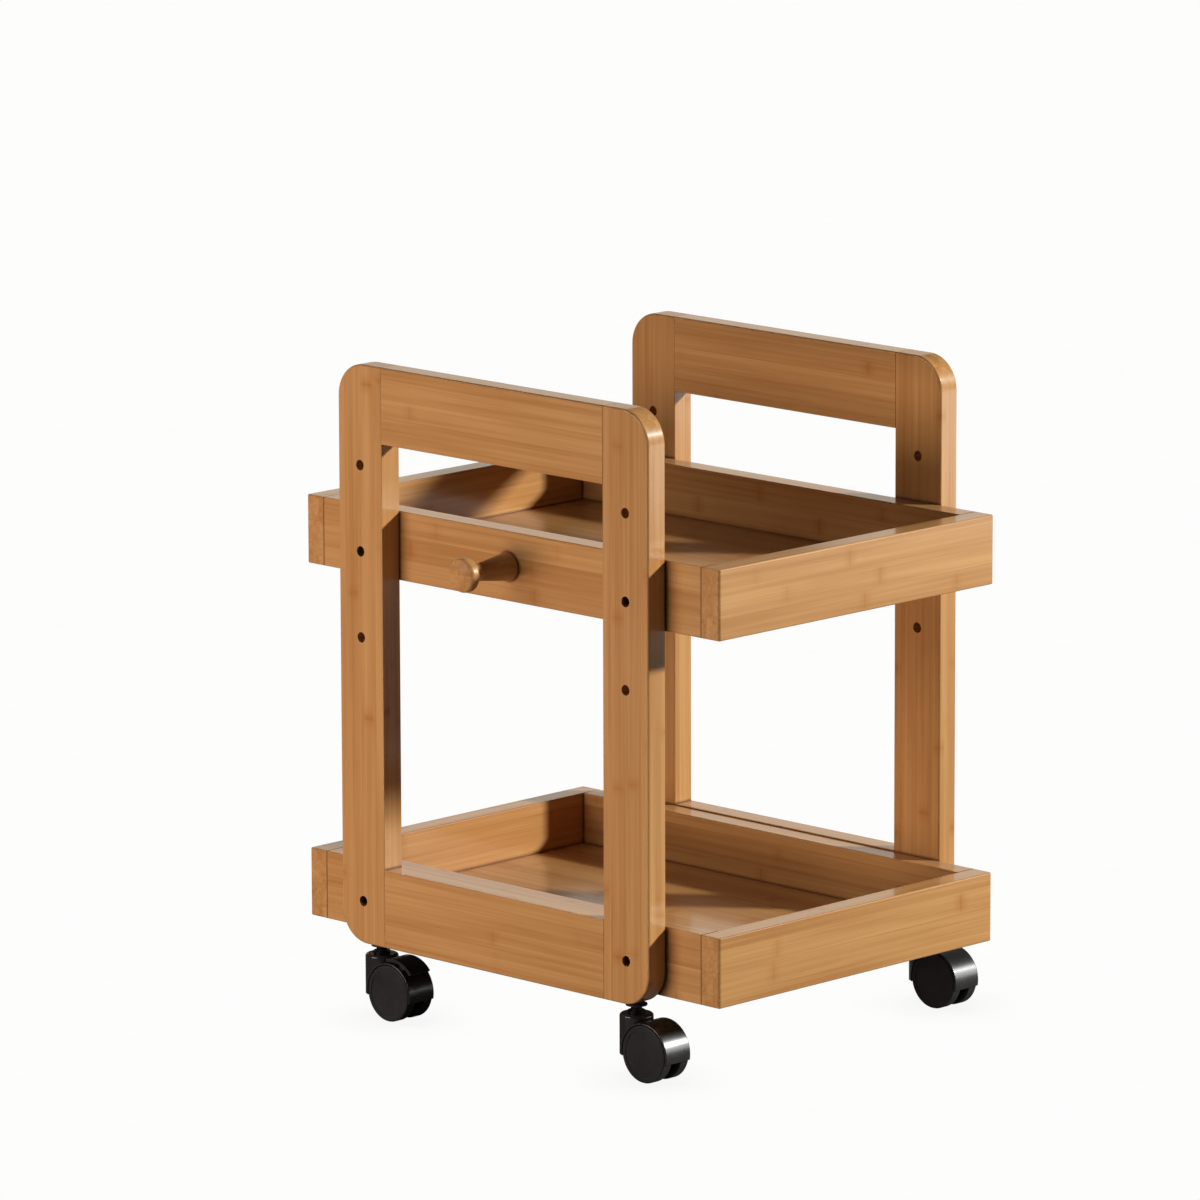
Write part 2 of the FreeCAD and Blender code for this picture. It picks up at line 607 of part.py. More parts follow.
def make_peg_screw():
    body = new_body("peg_screw")
    spin_up(body, "screw", [
        ("0", "0"),
        ("size.screw_head_radius", "0"),
        ("size.screw_radius", "size.screw_head_tall"),
        ("size.screw_radius", "size.screw_length"),
        ("0", "size.screw_length"),
    ])
    put(body, "size.board_thick - size.tray_wide / 2", "0",
        "size.upper_tray_base + size.tray_tall / 2", AGAINST_X)
    return node(body, body.Name)


make_peg()
make_peg_screw()


# ---- Casters ------------------------------------------------------------------------------

STEM_X = "(size.tray_wide + size.frame_thick) / 2"
STEM_PLACES = {
    "front_left": (f"-{STEM_X}", "size.front_stem_in - size.frame_length / 2"),
    "front_right": (STEM_X, "size.front_stem_in - size.frame_length / 2"),
    "back_left": (f"-{STEM_X}", "size.frame_length / 2 - size.back_stem_in"),
    "back_right": (STEM_X, "size.frame_length / 2 - size.back_stem_in"),
}
SHANK_START = "size.frame_base - size.flange_thick"


def make_sockets():
    """Four flanged sleeves in the posts' lower ends, which grip the caster stems."""
    sockets = []
    for x, y in STEM_PLACES.values():
        flange = doc.addObject("Part::Cylinder", "socket_flange")
        bind(flange, Radius="size.flange_radius", Height="size.flange_thick")
        sleeve = doc.addObject("Part::Cylinder", "socket_sleeve")
        bind(sleeve, Radius="size.socket_radius", Height="size.socket_tall + size.flange_thick")
        blank = doc.addObject("Part::Fuse", "socket_blank")
        blank.Base = flange
        blank.Tool = sleeve
        bore = doc.addObject("Part::Cylinder", "socket_bore")
        bind(bore, Radius="size.shank_radius + size.shank_play", Height="size.socket_tall * 2")
        put(bore, z="-size.flange_thick")
        socket = doc.addObject("Part::Cut", "socket")
        socket.Base = blank
        socket.Tool = bore
        put(socket, x, y, SHANK_START)
        sockets.append(socket)
    return group("caster_sockets", sockets)


def make_stem(place):
    """A steel stem: pin and bead in the boss, collar, then the shank in the socket."""
    body = new_body(f"{place}_stem")
    collar = "size.boss_top + size.collar_gap"
    spin_up(body, "turning", [
        ("0", "size.stem_foot"),
        ("size.stem_radius", "size.stem_foot"),
        ("size.stem_radius", "size.bead_foot"),
        ("size.bead_radius", "size.bead_foot"),
        ("size.bead_radius", "size.bead_foot + size.bead_tall"),
        ("size.stem_radius", "size.bead_foot + size.bead_tall"),
        ("size.stem_radius", collar),
        ("size.collar_radius", collar),
        ("size.collar_radius", f"{collar} + size.collar_tall"),
        ("size.shank_radius", f"{collar} + size.collar_tall"),
        ("size.shank_radius", "size.shank_end"),
        ("0", "size.shank_end"),
    ])
    put(body, *STEM_PLACES[place])
    return node(body, body.Name)


def make_hood(place, braked):
    """The swivelling housing: a boss round the stem, a hood over the wheels and a web between."""
    body = new_body(f"{place}_hood")
    back = "-size.caster_trail"
    rod(body, "drum", "size.hood_radius", "size.hood_half * 2",
        x="-size.hood_half", y=back, z="size.wheel_radius", turn=ALONG_X)
    half = number("size.hood_half")
    soften(body, "hood_edges", "size.hood_ease", lambda edge: lies(edge, x=-half) or lies(edge, x=half))
    rod(body, "boss", "size.boss_radius", "size.boss_top - size.hood_foot", z="size.hood_foot")
    block(body, "foot", "size.hood_half * 4", "size.hood_radius * 4", "size.hood_radius",
          x="-size.hood_half * 2", y="-size.hood_radius * 3", z="size.hood_foot - size.hood_radius",
          remove=True)
    rod(body, "axle_lug", "size.lug_radius", "size.web_wide",
        x="-size.web_wide / 2", y=back, z="size.wheel_radius", turn=ALONG_X)
    top = number("size.boss_top")
    soften(body, "boss_top", "size.boss_round", lambda edge: lies(edge, z=top))
    for side in (f"-size.web_wide / 2 - size.hood_half", "size.web_wide / 2"):
        rod(body, "wheel_bay", "size.bay_radius", "size.hood_half",
            x=side, y=back, z="size.wheel_radius", turn=ALONG_X, remove=True)
    rod(body, "axle_hole", "size.axle_radius", "size.web_wide * 2",
        x="-size.web_wide", y=back, z="size.wheel_radius", turn=ALONG_X, remove=True)
    rod(body, "stem_bore", "size.stem_radius + size.swivel_play", "size.boss_top",
        z="size.stem_foot - size.bead_play", remove=True)
    rod(body, "bead_room", "size.bead_radius + size.bead_play",
        "size.bead_tall + size.bead_play * 2", z="size.bead_foot - size.bead_play", remove=True)
    if braked:
        slot_deep = "(size.arm_radius + size.slot_play)"
        block(body, "arm_slot", "(size.arm_half + size.slot_play) * 2",
              f"{slot_deep} * 2 + size.slot_front",
              "size.hood_radius", x="-(size.arm_half + size.slot_play)",
              y=f"-size.pivot_back - {slot_deep}", z=f"size.pivot_up - {slot_deep}", remove=True)
        rod(body, "pivot_hole", "size.pivot_radius", "size.web_wide * 2",
            x="-size.web_wide", y="-size.pivot_back", z="size.pivot_up", turn=ALONG_X, remove=True)
        for side in ("-1", "1"):
            pad_block(body, "pad_window", side, "-size.caster_trail", "size.wheel_radius",
                      beside="size.pad_window", along="size.pad_swing", remove=True)
    put(body, *STEM_PLACES[place])
    return node(body, body.Name)


def pad_block(body, name, side, wheel_y, wheel_z, beside="0", along="0", remove=False):
    """A block that stands on the tread at the brake pads' angle, or the window round it.

    wheel_y and wheel_z are the axle in the body's own frame.  beside and along widen the block
    across and along the tread, and a widened block also starts that much nearer the axle.
    """
    start = f"(size.wheel_radius + size.pad_gap - {beside})"
    reach = "(size.hood_radius + size.lever_gap + size.lever_thick / 2)"
    width = f"(size.pad_wide + {beside} * 2)"
    length = f"(size.pad_long + {along} * 2)"
    tilt = "(90deg - size.pad_angle * 1deg)"
    turn = FreeCAD.Rotation(X_AXIS, 90 - number("size.pad_angle"))
    box = block(body, name, width, length, f"{reach} - {start}", remove=remove, turn=turn)
    bind(box, **{
        "Placement.Rotation.Angle": tilt,
        "Placement.Base.x": f"{side} * size.pad_out - {width} / 2",
        "Placement.Base.y": f"{wheel_y} - {start} * sin({tilt}) - {length} / 2 * cos({tilt})",
        "Placement.Base.z": f"{wheel_z} + {start} * cos({tilt}) - {length} / 2 * sin({tilt})",
    })
    return box


def make_axle(place):
    body = new_body(f"{place}_axle")
    rod(body, "rod", "size.axle_radius", "size.axle_length", x="-size.axle_length / 2", turn=ALONG_X)
    x, y = STEM_PLACES[place]
    put(body, x, f"{y} - size.caster_trail", "size.wheel_radius")
    return node(body, body.Name)


def make_wheel(place, side):
    """A hollow moulded wheel: tread, outer disc and a hub with a blind bore."""
    body = new_body(f"{place}_{side}_wheel")
    face = "size.wheel_wide - size.face_recess"
    bore = "size.axle_length / 2 + size.axle_end_play - size.web_wide / 2 - size.wheel_gap"
    spin_up(body, "moulding", [
        ("size.axle_radius + size.spin_play", "0"),
        ("size.hub_radius", "0"),
        ("size.hub_radius", "size.wheel_wide - size.disc_thick"),
        ("size.wheel_radius - size.rim_thick", "size.wheel_wide - size.disc_thick"),
        ("size.wheel_radius - size.rim_thick", "0"),
        ("size.wheel_radius", "0"),
        ("size.wheel_radius", "size.wheel_wide"),
        ("size.wheel_radius - size.face_rim", "size.wheel_wide"),
        ("size.wheel_radius - size.face_rim", face),
        ("0", face),
        ("0", bore),
        ("size.axle_radius + size.spin_play", bore),
    ])
    radius = number("size.wheel_radius")
    width = number("size.wheel_wide")
    soften(body, "tread_edges", "size.tread_ease",
           lambda edge: near(edge.BoundBox.XMax, radius) and
           (lies(edge, z=width) or lies(edge, z=0)))
    x, y = STEM_PLACES[place]
    sign = "-" if side == "left" else "+"
    turn = AGAINST_X if side == "left" else ALONG_X
    put(body, f"{x} {sign} (size.web_wide / 2 + size.wheel_gap)", f"{y} - size.caster_trail",
        "size.wheel_radius", turn)
    return node(body, body.Name)


def make_brake_lever(place):
    """A pedal over the hood, with an arm to its pivot and a pad for each wheel.

    It is drawn pressed down, with its pivot at the origin, and set in the raised place.
    """
    body = new_body(f"{place}_brake_lever")
    wheel_y = "(size.pivot_back - size.caster_trail)"
    wheel_z = "(size.wheel_radius - size.pivot_up)"
    inner = "(size.hood_radius + size.lever_gap)"
    front = 180 - number("size.lever_low + size.lever_sweep")
    shell = {"plate": (f"{inner} + size.lever_thick", False), "hollow": (inner, True)}
    for name, (radius, remove) in shell.items():
        sector = rod(body, name, radius, "size.lever_half * 2", x="-size.lever_half",
                     y=wheel_y, z=wheel_z, remove=remove)
        # The sector opens from the pedal's front end, over the top, to its free end behind.
        sector.Placement.Rotation = FreeCAD.Rotation(X_AXIS, front) * SECTOR_FROM_Y
        sector.setExpression("Angle", "size.lever_sweep")
    rod(body, "eye", "size.arm_radius", "size.arm_half * 2", x="-size.arm_half", turn=ALONG_X)
    block(body, "arm", "size.arm_half * 2", "size.arm_radius * 2",
          f"{wheel_z} + {inner} + size.lever_thick / 2", x="-size.arm_half", y="-size.arm_radius")
    for side in ("-1", "1"):
        pad_block(body, "pad", side, wheel_y, wheel_z)
    rod(body, "pivot_hole", "size.pivot_radius + size.pivot_play", "size.web_wide * 2",
        x="-size.web_wide", turn=ALONG_X, remove=True)
    x, y = STEM_PLACES[place]
    put(body, x, f"{y} - size.pivot_back", "size.pivot_up",
        FreeCAD.Rotation(X_AXIS, -number("size.lever_lift")))
    return node(body, body.Name)


def make_brake_pin(place):
    body = new_body(f"{place}_brake_pin")
    rod(body, "rod", "size.pivot_radius", "size.web_wide", x="-size.web_wide / 2", turn=ALONG_X)
    x, y = STEM_PLACES[place]
    put(body, x, f"{y} - size.pivot_back", "size.pivot_up")
    return node(body, body.Name)


make_sockets()
for caster in STEM_PLACES:
    has_brake = caster.startswith("back")
    make_stem(caster)
    make_hood(caster, has_brake)
    make_axle(caster)
    for wheel_side in ("left", "right"):
        make_wheel(caster, wheel_side)
    if has_brake:
        make_brake_lever(caster)
        make_brake_pin(caster)


# ---- Checks and export --------------------------------------------------------------------

doc.recompute()
for item in doc.Objects:
    if {"Invalid", "Error"} & set(item.State):
        raise RuntimeError(f"{item.Name}: {item.State}")
for item in nodes:
    if item.Shape.isNull() or not item.Shape.isValid():
        raise RuntimeError(f"{item.Label}: bad shape")

os.makedirs("parts", exist_ok=True)
for item in nodes:
    item.Shape.exportStep(f"parts/{item.Label}.step")
    box = item.Shape.optimalBoundingBox(False, False)
    print(f"{item.Label}: {len(item.Shape.Solids)} solids, {item.Shape.Volume:.0f} mm3, "
          f"x {box.XMin:.2f}..{box.XMax:.2f} y {box.YMin:.2f}..{box.YMax:.2f} "
          f"z {box.ZMin:.2f}..{box.ZMax:.2f}")
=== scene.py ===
import math

import bmesh
import bpy
from mathutils import Matrix, Vector


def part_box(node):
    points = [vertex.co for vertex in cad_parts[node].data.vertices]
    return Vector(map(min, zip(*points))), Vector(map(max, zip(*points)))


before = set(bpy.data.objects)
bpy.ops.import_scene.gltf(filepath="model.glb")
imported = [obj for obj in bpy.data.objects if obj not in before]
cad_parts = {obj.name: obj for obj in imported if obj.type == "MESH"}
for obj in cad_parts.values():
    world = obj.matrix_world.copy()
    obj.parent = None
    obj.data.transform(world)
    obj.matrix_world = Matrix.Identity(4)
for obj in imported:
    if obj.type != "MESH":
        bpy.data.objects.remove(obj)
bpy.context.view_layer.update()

print("frame loaded:", len(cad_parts), "pieces")


# Short ways to write shader trees. A value is either a constant or another node's output.

def plug(tree, socket, value):
    if isinstance(value, bpy.types.NodeSocket):
        tree.links.new(value, socket)
    else:
        socket.default_value = value


def putNode(tree, kind, inputs=None, **settings):
    made = tree.nodes.new("ShaderNode" + kind)
    for name, value in settings.items():
        setattr(made, name, value)
    for name, value in (inputs or {}).items():
        plug(tree, made.inputs[name], value)
    return made


def maths(tree, operation, *values):
    made = putNode(tree, "Math", operation=operation)
    for socket, value in zip(made.inputs, values):
        plug(tree, socket, value)
    return made.outputs[0]


def remap(tree, value, low, high, toLow=0.0, toHigh=1.0, soft=False):
    made = putNode(tree, "MapRange", {
        "Value": value, "From Min": low, "From Max": high, "To Min": toLow, "To Max": toHigh,
    }, interpolation_type="SMOOTHSTEP" if soft else "LINEAR")
    return made.outputs[0]


def mixColours(tree, amount, first, second, blend="MIX"):
    made = putNode(tree, "Mix", data_type="RGBA", blend_type=blend)
    for index, value in ((0, amount), (6, first), (7, second)):
        plug(tree, made.inputs[index], value)
    return made.outputs[2]


def vector(tree, x, y, z):
    return putNode(tree, "CombineXYZ", {"X": x, "Y": y, "Z": z}).outputs[0]


def noise(tree, place, scale, detail=2.0, rough=0.5):
    return putNode(tree, "TexNoise", {
        "Vector": place, "Scale": scale, "Detail": detail, "Roughness": rough,
    }).outputs[0]


def newGroup(name, inputs, outputs):
    tree = bpy.data.node_groups.new(name, "ShaderNodeTree")
    for label, value in inputs.items():
        kind = "NodeSocketColor" if isinstance(value, tuple) else "NodeSocketFloat"
        made = tree.interface.new_socket(name=label, in_out="INPUT", socket_type=kind)
        made.default_value = value
    for label, kind in outputs.items():
        tree.interface.new_socket(name=label, in_out="OUTPUT", socket_type="NodeSocket" + kind)
    return tree, tree.nodes.new("NodeGroupInput").outputs, tree.nodes.new("NodeGroupOutput").inputs


def useGroup(tree, group, inputs):
    made = putNode(tree, "Group", node_tree=group)
    for name, value in inputs.items():
        plug(tree, made.inputs[name], value)
    return made.outputs


# Laminated bamboo: strips side by side and plies behind each other, each with its own tone,
# fibres along the strip, and the darker knuckles where the cane had its rings.
# Lengths are metres. A grain's run and across are its changes a metre: a small run, a long fibre.
grainShape = {
    "slide": 3.1,  # how far strips are slid past each other
    "fine": {"run": 12.0, "across": 900.0, "detail": 3.0, "rough": 0.6, "share": 1.0},
    "streak": {"run": 4.0, "across": 230.0, "detail": 2.0, "rough": 0.55, "share": 1.7},
    "broad": {"run": 6.0, "across": 25.0, "detail": 2.0, "rough": 0.5, "share": 1.0},
    "knuckleWander": 0.005, "faintKnuckle": 0.05, "knuckleChance": (0.4, 0.9),
    "ringEdge": (0.0018, 0.0003), "ringDepth": 0.4, "stainEdge": 0.0095, "stainDepth": 0.6,
    "glueEdge": (0.0005, 0.0001), "glueDepth": 0.22,
    "stripFade": 0.005, "fadeFloor": 0.1,  # knuckles fade towards a strip's edges
    "fibreDots": 900.0, "dotEdge": (0.42, 0.18), "dotDepth": 0.55,
    "plainRoughness": 0.37, "fineSwing": 0.16, "broadSwing": 0.12, "knuckleDull": 0.08, "cutDull": 0.14,
    "fineRelief": 0.5, "streakRelief": 0.6, "ringRelief": -0.5, "glueRelief": -1.2,
}


def makeGrain(tree, along, across, deep, grain):
    stretched = vector(tree, maths(tree, "MULTIPLY", along, grain["run"]),
                       maths(tree, "MULTIPLY", across, grain["across"]),
                       maths(tree, "MULTIPLY", deep, grain["across"]))
    return noise(tree, stretched, 1.0, grain["detail"], grain["rough"])


def swing(tree, grain, amount, level):  # moves a level up and down with a grain
    return maths(tree, "MULTIPLY_ADD", maths(tree, "SUBTRACT", grain, 0.5), amount, level)


def makeBambooGrain():
    shape = grainShape
    tree, given, out = newGroup("bambooGrain", {
        "Along": 0.0, "Across": 0.0, "Deep": 0.0, "End Facing": 0.0,
        "Strip Width": 0.015, "Ply Thickness": 0.0057, "Knuckle Gap": 0.15,
        "Light Strip": (0.6, 0.35, 0.16, 1), "Dark Strip": (0.45, 0.22, 0.08, 1),
        "Knuckle": (0.35, 0.14, 0.04, 1),
        "Strip Contrast": 0.5, "Fibre Contrast": 0.5, "Knuckle Strength": 0.5,
    }, {"Colour": "Color", "Roughness": "Float", "Height": "Float"})
    along, across, deep = given["Along"], given["Across"], given["Deep"]

    strip = maths(tree, "FLOOR", maths(tree, "DIVIDE", across, given["Strip Width"]))
    ply = maths(tree, "FLOOR", maths(tree, "DIVIDE", deep, given["Ply Thickness"]))
    cell = putNode(tree, "TexWhiteNoise", {"Vector": vector(tree, strip, ply, 0.5)},
                   noise_dimensions="3D")
    chance = putNode(tree, "SeparateColor", {"Color": cell.outputs["Color"]}).outputs
    shifted = maths(tree, "MULTIPLY_ADD", chance[1], shape["slide"], along)
    fine, streak, broad = (makeGrain(tree, shifted, across, deep, shape[name])
                           for name in ("fine", "streak", "broad"))

    # knuckles: a fine line in a soft stain, uneven from one strip to the next
    turn = maths(tree, "DIVIDE", shifted, given["Knuckle Gap"])
    number = maths(tree, "FLOOR", turn)
    each = putNode(tree, "TexWhiteNoise", {"Vector": vector(tree, strip, ply, number)},
                   noise_dimensions="3D").outputs["Value"]
    away = maths(tree, "MULTIPLY", given["Knuckle Gap"], maths(
        tree, "ABSOLUTE", maths(tree, "SUBTRACT", maths(tree, "FRACT", turn), 0.5)))
    ragged = swing(tree, broad, shape["knuckleWander"], away)
    strength = maths(tree, "MULTIPLY", given["Knuckle Strength"],
                     remap(tree, each, *shape["knuckleChance"], shape["faintKnuckle"], 1.0))
    ring = remap(tree, ragged, *shape["ringEdge"], 0.0, shape["ringDepth"], soft=True)
    stain = remap(tree, ragged, shape["stainEdge"], 0.0, 0.0, shape["stainDepth"], soft=True)

    # glue lines between the strips
    part = maths(tree, "FRACT", maths(tree, "DIVIDE", across, given["Strip Width"]))
    fromLine = maths(tree, "MULTIPLY", given["Strip Width"], maths(
        tree, "SUBTRACT", 0.5, maths(tree, "ABSOLUTE", maths(tree, "SUBTRACT", part, 0.5))))
    glueLine = remap(tree, fromLine, *shape["glueEdge"], 0.0, shape["glueDepth"])
    inStrip = remap(tree, fromLine, 0.0, shape["stripFade"], shape["fadeFloor"], 1.0, soft=True)
    knuckle = maths(tree, "MULTIPLY", maths(tree, "ADD", ring, stain),
                    maths(tree, "MULTIPLY", strength, inStrip))

    tone = swing(tree, chance[0], given["Strip Contrast"], 0.5)
    for name, grain in (("fine", fine), ("streak", streak), ("broad", broad)):
        share = maths(tree, "MULTIPLY", maths(tree, "SUBTRACT", grain, 0.5), shape[name]["share"])
        tone = maths(tree, "MULTIPLY_ADD", share, given["Fibre Contrast"], tone)
    face = mixColours(tree, maths(tree, "MINIMUM", maths(tree, "MAXIMUM", tone, 0.0), 1.0),
                      given["Dark Strip"], given["Light Strip"])
    face = mixColours(tree, knuckle, face, given["Knuckle"])
    face = mixColours(tree, glueLine, face, given["Knuckle"])

    # cut ends show the fibre bundles as dots
    dots = putNode(tree, "TexVoronoi", {
        "Vector": vector(tree, across, deep, 0.0), "Scale": shape["fibreDots"], "Randomness": 0.9,
    }).outputs["Distance"]
    bundle = remap(tree, dots, *shape["dotEdge"], 0.0, shape["dotDepth"], soft=True)
    cut = mixColours(tree, bundle, face, given["Knuckle"])
    plug(tree, out["Colour"], mixColours(tree, given["End Facing"], face, cut))

    dull = swing(tree, fine, shape["fineSwing"], shape["plainRoughness"])
    dull = swing(tree, broad, shape["broadSwing"], dull)
    dull = maths(tree, "MULTIPLY_ADD", knuckle, shape["knuckleDull"], dull)
    dull = maths(tree, "MULTIPLY_ADD", given["End Facing"], shape["cutDull"], dull)
    plug(tree, out["Roughness"], dull)

    relief = maths(tree, "MULTIPLY_ADD", streak, shape["streakRelief"],
                   maths(tree, "MULTIPLY", fine, shape["fineRelief"]))
    relief = maths(tree, "MULTIPLY_ADD", ring, shape["ringRelief"], relief)
    relief = maths(tree, "MULTIPLY_ADD", glueLine, shape["glueRelief"], relief)
    plug(tree, out["Height"], relief)
    return tree


# Where hands and other pieces have rubbed an edge.
wearShape = {"edge": (0.995, 0.86),  # cosines between the rounded and the plain normal
             "patch": (0.35, 0.62), "detail": 3.0, "rough": 0.6, "samples": 4}


def makeEdgeWear():
    tree, given, out = newGroup("edgeWear", {"Width": 0.001, "Patchiness": 0.5, "Patch Scale": 60.0},
                                {"Mask": "Float"})
    rounded = putNode(tree, "Bevel", {"Radius": given["Width"]},
                      samples=wearShape["samples"]).outputs[0]
    plain = putNode(tree, "NewGeometry").outputs
    agree = putNode(tree, "VectorMath", operation="DOT_PRODUCT")
    plug(tree, agree.inputs[0], rounded)
    plug(tree, agree.inputs[1], plain["Normal"])
    edge = remap(tree, agree.outputs["Value"], *wearShape["edge"], soft=True)
    place = putNode(tree, "TexCoord").outputs["Object"]
    rubbed = noise(tree, place, given["Patch Scale"], wearShape["detail"], wearShape["rough"])
    patch = remap(tree, rubbed, *wearShape["patch"], soft=True)
    kept = maths(tree, "SUBTRACT", 1.0, maths(tree, "MULTIPLY", given["Patchiness"],
                                              maths(tree, "SUBTRACT", 1.0, patch)))
    plug(tree, out["Mask"], maths(tree, "MULTIPLY", edge, kept))
    return tree


# Painted shade, with some grime: a mask of how closed in a spot is, from ambient occlusion. It darkens
# the bamboo's joints, holes and corners, paints the floor's soft shadow, and puts tarnish in the hollows
# of metal.
shadeAndGrimeShape = {"openness": (0.96, 0.66), "samples": 5}


def makePaintedShadeAndGrime():
    tree, given, out = newGroup("paintedShadeAndGrime", {"Reach": 0.003, "Strength": 0.6}, {"Mask": "Float"})
    openness = putNode(tree, "AmbientOcclusion", {"Distance": given["Reach"]},
                       samples=shadeAndGrimeShape["samples"]).outputs["AO"]
    deep = remap(tree, openness, *shadeAndGrimeShape["openness"], soft=True)
    plug(tree, out["Mask"], maths(tree, "MULTIPLY", deep, given["Strength"]))
    return tree


# The fine dark line where a tray's end board meets the side boards. It is a cut across the run of
# the boards, so it only shows on faces that cross that line.
seamShape = {"outside": 2.0, "inside": 0.5,  # half widths where it starts and is darkest
             "crossing": (0.6, 0.3)}


def makeSeamLine():
    tree, given, out = newGroup("seamLine", {"Run": 0.0, "Run Facing": 0.0, "Seam At": 0.18,
                                             "Half Width": 0.0004}, {"Mask": "Float"})
    away = maths(tree, "ABSOLUTE", maths(
        tree, "SUBTRACT", maths(tree, "ABSOLUTE", given["Run"]), given["Seam At"]))
    outside = maths(tree, "MULTIPLY", given["Half Width"], seamShape["outside"])
    inside = maths(tree, "MULTIPLY", given["Half Width"], seamShape["inside"])
    line = remap(tree, away, outside, inside, soft=True)
    crossing = remap(tree, maths(tree, "ABSOLUTE", given["Run Facing"]), *seamShape["crossing"])
    plug(tree, out["Mask"], maths(tree, "MULTIPLY", line, crossing))
    return tree


# Moulded plastic: fine pebble, flow marks and a little dust.
skinShape = {
    "flow": {"scale": 55.0, "detail": 3.0, "rough": 0.6, "edge": (0.35, 0.7), "relief": 0.4},
    "specks": {"scale": 420.0, "detail": 4.0, "rough": 0.75, "edge": (0.56, 0.74)},
    "dustDull": 0.5,
}


def makeMouldedSkin():
    flowLook, speckLook = skinShape["flow"], skinShape["specks"]
    tree, given, out = newGroup("mouldedSkin", {
        "Plastic": (0.02, 0.02, 0.02, 1), "Dust": (0.12, 0.11, 0.1, 1), "Dust Amount": 0.1,
        "Pebble Scale": 1400.0, "Plain Roughness": 0.4, "Roughness Swing": 0.15,
    }, {"Colour": "Color", "Roughness": "Float", "Height": "Float"})
    place = putNode(tree, "TexCoord").outputs["Object"]
    pebble = noise(tree, place, given["Pebble Scale"], 2.0, 0.5)
    flow = noise(tree, place, flowLook["scale"], flowLook["detail"], flowLook["rough"])
    grit = noise(tree, place, speckLook["scale"], speckLook["detail"], speckLook["rough"])
    specks = remap(tree, grit, *speckLook["edge"])
    dusty = maths(tree, "MULTIPLY", given["Dust Amount"],
                  maths(tree, "ADD", specks, remap(tree, flow, *flowLook["edge"])))
    plug(tree, out["Colour"], mixColours(tree, dusty, given["Plastic"], given["Dust"]))
    dull = swing(tree, flow, given["Roughness Swing"], given["Plain Roughness"])
    dull = maths(tree, "MULTIPLY_ADD", dusty, skinShape["dustDull"], dull)
    plug(tree, out["Roughness"], dull)
    plug(tree, out["Height"], maths(tree, "MULTIPLY_ADD", flow, flowLook["relief"], pebble))
    return tree


# Turned or drawn metal: fine marks round the piece.
markShape = {
    "round": 30.0, "ringDetail": 2.0, "ringRough": 0.6, "ringDull": 0.14,
    "blotchScale": 130.0, "blotchDetail": 4.0, "blotchRough": 0.65, "blotchEdge": (0.45, 0.75),
    "stainDull": 0.5,
}


def makeLatheMarks():
    shape = markShape
    tree, given, out = newGroup("latheMarks", {
        "Metal": (0.6, 0.6, 0.62, 1), "Tarnish": (0.3, 0.28, 0.25, 1),
        "Mark Scale": 2500.0, "Plain Roughness": 0.25, "Tarnish Amount": 0.3,
    }, {"Colour": "Color", "Roughness": "Float", "Height": "Float"})
    place = putNode(tree, "TexCoord").outputs["Object"]
    split = putNode(tree, "SeparateXYZ", {"Vector": place}).outputs
    squeezed = vector(tree, maths(tree, "MULTIPLY", split[0], shape["round"]),
                      maths(tree, "MULTIPLY", split[1], shape["round"]),
                      maths(tree, "MULTIPLY", split[2], given["Mark Scale"]))
    rings = noise(tree, squeezed, 1.0, shape["ringDetail"], shape["ringRough"])
    blotch = noise(tree, place, shape["blotchScale"], shape["blotchDetail"], shape["blotchRough"])
    stained = maths(tree, "MULTIPLY", remap(tree, blotch, *shape["blotchEdge"], soft=True),
                    given["Tarnish Amount"])
    plug(tree, out["Colour"], mixColours(tree, stained, given["Metal"], given["Tarnish"]))
    dull = maths(tree, "MULTIPLY_ADD", rings, shape["ringDull"], given["Plain Roughness"])
    dull = maths(tree, "MULTIPLY_ADD", stained, shape["stainDull"], dull)
    plug(tree, out["Roughness"], dull)
    plug(tree, out["Height"], rings)
    return tree


bambooGrain = makeBambooGrain()
edgeWear = makeEdgeWear()
paintedShadeAndGrime = makePaintedShadeAndGrime()
seamLine = makeSeamLine()
mouldedSkin = makeMouldedSkin()
latheMarks = makeLatheMarks()
print("shader groups made")


def newMaterial(name):
    made = bpy.data.materials.new(name)
    made.use_nodes = True
    made.node_tree.nodes.clear()
    return made, made.node_tree


def finishSurface(tree, colour, roughness, height, look):
    bump = putNode(tree, "Bump", {
        "Height": height, "Strength": look["bumpStrength"], "Distance": look["bumpDistance"],
    })
    surface = putNode(tree, "BsdfPrincipled", {
        "Base Color": colour, "Roughness": roughness, "Normal": bump.outputs[0],
        **look["sockets"],
    })
    putNode(tree, "OutputMaterial", {"Surface": surface.outputs[0]})


# Values for every bamboo piece, then what differs between the boards.
bambooLook = {
    "lightStrip": (0.590, 0.318, 0.116, 1), "darkStrip": (0.440, 0.202, 0.062, 1),
    "knuckle": (0.400, 0.135, 0.026, 1), "worn": (0.66, 0.35, 0.15, 1),
    "shadeAndSeamColour": (0.13, 0.042, 0.014, 1),
    "stripWidth": 0.0143, "plyThickness": 0.0057, "knuckleGap": 0.118,
    "stripContrast": 0.42, "fibreContrast": 1.0, "knuckleStrength": 0.6,
    "wearWidth": 0.0012, "wearAmount": 0.35, "wearPolish": -0.1,
    "jointReach": 0.0022, "jointStrength": 0.85, "jointDull": 0.3, "cutFacing": (0.72, 0.92),
    "bumpStrength": 0.35, "bumpDistance": 0.00012,
    "sockets": {"Coat Weight": 0.6, "Coat Roughness": 0.13, "Coat IOR": 1.45,
                "Specular IOR Level": 0.15},
}
